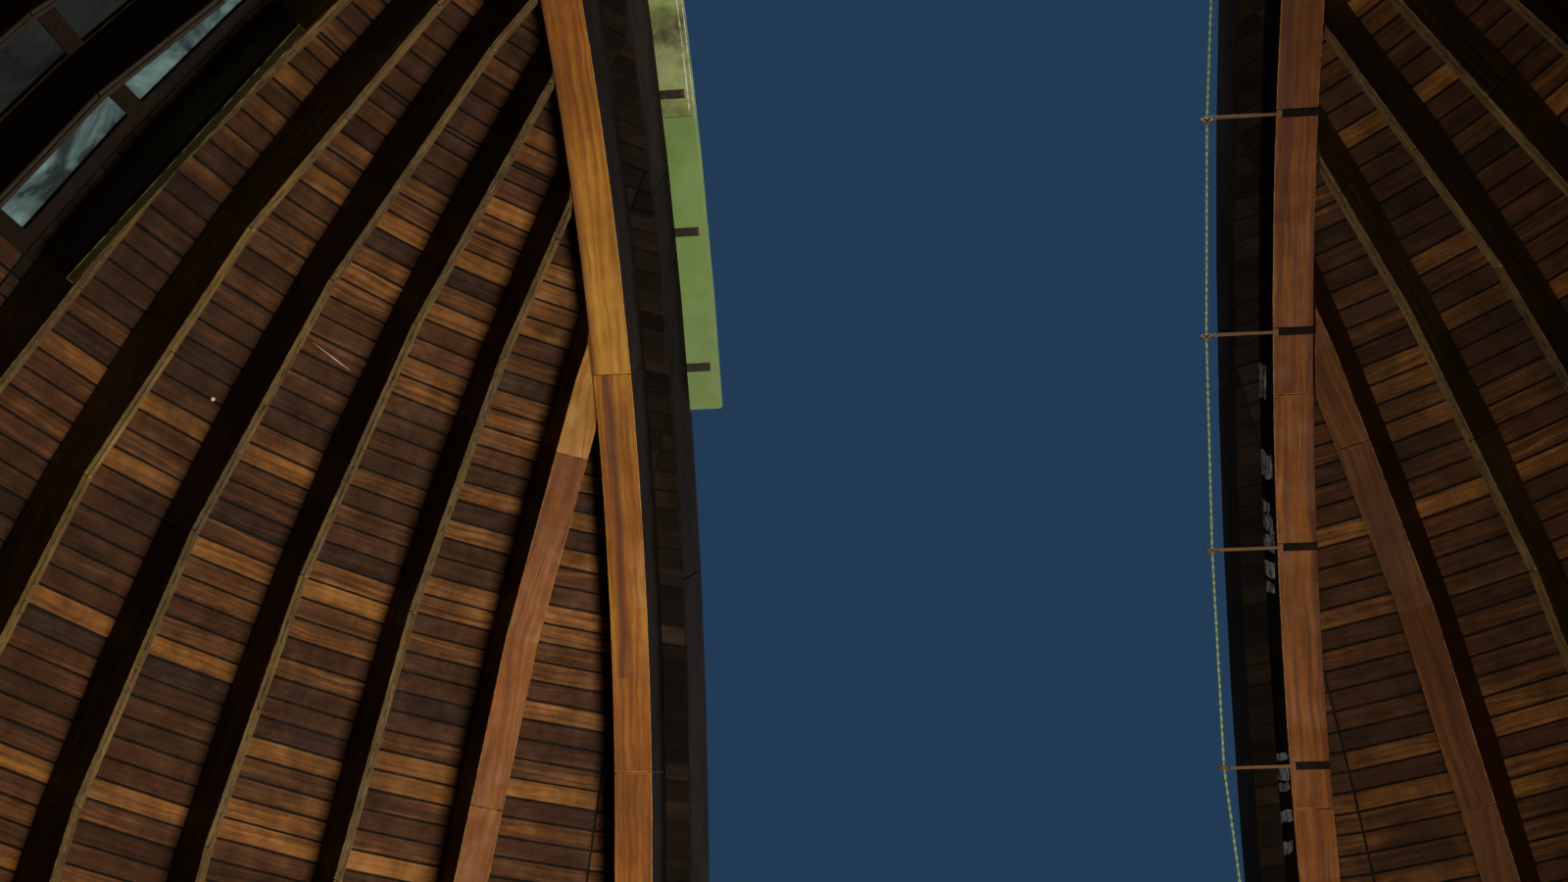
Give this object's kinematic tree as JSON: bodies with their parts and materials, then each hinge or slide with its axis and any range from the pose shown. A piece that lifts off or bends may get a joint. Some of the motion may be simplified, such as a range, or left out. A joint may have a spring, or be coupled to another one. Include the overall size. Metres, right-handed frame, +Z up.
{
  "type": "observatory dome",
  "caption": "Round brick observatory with a turning timber dome: open slit between curved arches, sliding leaves on bars, a guide rope on rods and a small skylight.",
  "frame": {"origin": "centre of the round wall at ground level", "axes": "+Z up along the axis of the dome, +Y towards the slit as the dome stands in the picture, +X to the right of someone who looks along +Y"},
  "size_m": [8.9646, 9.5918, 8.0692],
  "materials": {
    "boards": "red-brown varnished boards inside, painted sheet metal outside",
    "rib_wood": "varnished planks, worn lighter along their edges",
    "arch_wood": "orange-brown varnish over knotty timber",
    "dark_wood": "dark stained timber",
    "ring_wood": "dark stained timber",
    "leaf_paint": "pale sage green paint, mottled and worn",
    "iron": "black iron, dull, rusting at the edges",
    "rod_wood": "pale brown, oiled",
    "rope_fibre": "pale green twisted rope",
    "glass": "cloudy pane",
    "stile_wood": "olive green paint",
    "masonry": "weathered red brick",
    "step_stone": "worn stone",
    "door_paint": "dark green paint",
    "skirt_metal": "grey-green painted sheet"
  },
  "bodies": {
    "building": {"wall_front_right": "masonry", "wall_back_right": "masonry", "wall_back_left": "masonry", "wall_front_left": "masonry", "wall_over_door": "masonry", "door_frame": "dark_wood", "door": "door_paint", "door_step": "step_stone", "wall_plate_right": "ring_wood", "wall_plate_left": "ring_wood"},
    "dome": {"shell_left_front": "boards", "shell_left_back": "boards", "shell_back": "boards", "shell_right_back": "boards", "shell_right_front": "boards", "ribs_left_front": "rib_wood", "ribs_left_back": "rib_wood", "ribs_right_back": "rib_wood", "ribs_right_front": "rib_wood", "ribs_back": "rib_wood", "front_rib_right": "arch_wood", "front_rib_left": "arch_wood", "slit_arch_right": "arch_wood", "slit_arch_left": "arch_wood", "head_beam": "dark_wood", "slit_curb_right": "dark_wood", "slit_curb_left": "dark_wood", "head_curb": "dark_wood", "slit_sill": "dark_wood", "skylight_frame": "dark_wood", "dome_ring": "ring_wood", "lower_leaf_left": "leaf_paint", "lower_leaf_right": "leaf_paint", "lower_leaf_left_slides": "iron", "lower_leaf_right_slides": "iron", "runway_right": "iron", "runway_left": "iron", "ring_rail": "iron", "rope_cleat": "iron", "rope_rod_1": "rod_wood", "rope_rod_2": "rod_wood", "rope_rod_3": "rod_wood", "rope_rod_4": "rod_wood", "rope_rod_5": "rod_wood", "leaf_rope": "rope_fibre", "skylight_glass": "glass", "skylight_stile": "stile_wood", "dome_skirt": "skirt_metal"},
    "left_leaf": {"leaf_left": "leaf_paint", "leaf_left_slides": "iron"},
    "right_leaf": {"leaf_right": "leaf_paint", "leaf_right_slides": "iron"}
  },
  "joints": [
    {"name": "dome_rotation", "type": "hinge", "parent": "building", "child": "dome", "pos_m": [0, 0, 3.25], "axis": [0, 0, 1], "continuous": true},
    {"name": "left_leaf_slide", "type": "slide", "parent": "dome", "child": "left_leaf", "axis": [1, 0, 0], "range_m": [-0.147, 1.04]},
    {"name": "right_leaf_slide", "type": "slide", "parent": "dome", "child": "right_leaf", "axis": [-1, 0, 0], "range_m": [0, 1.187]}
  ]
}
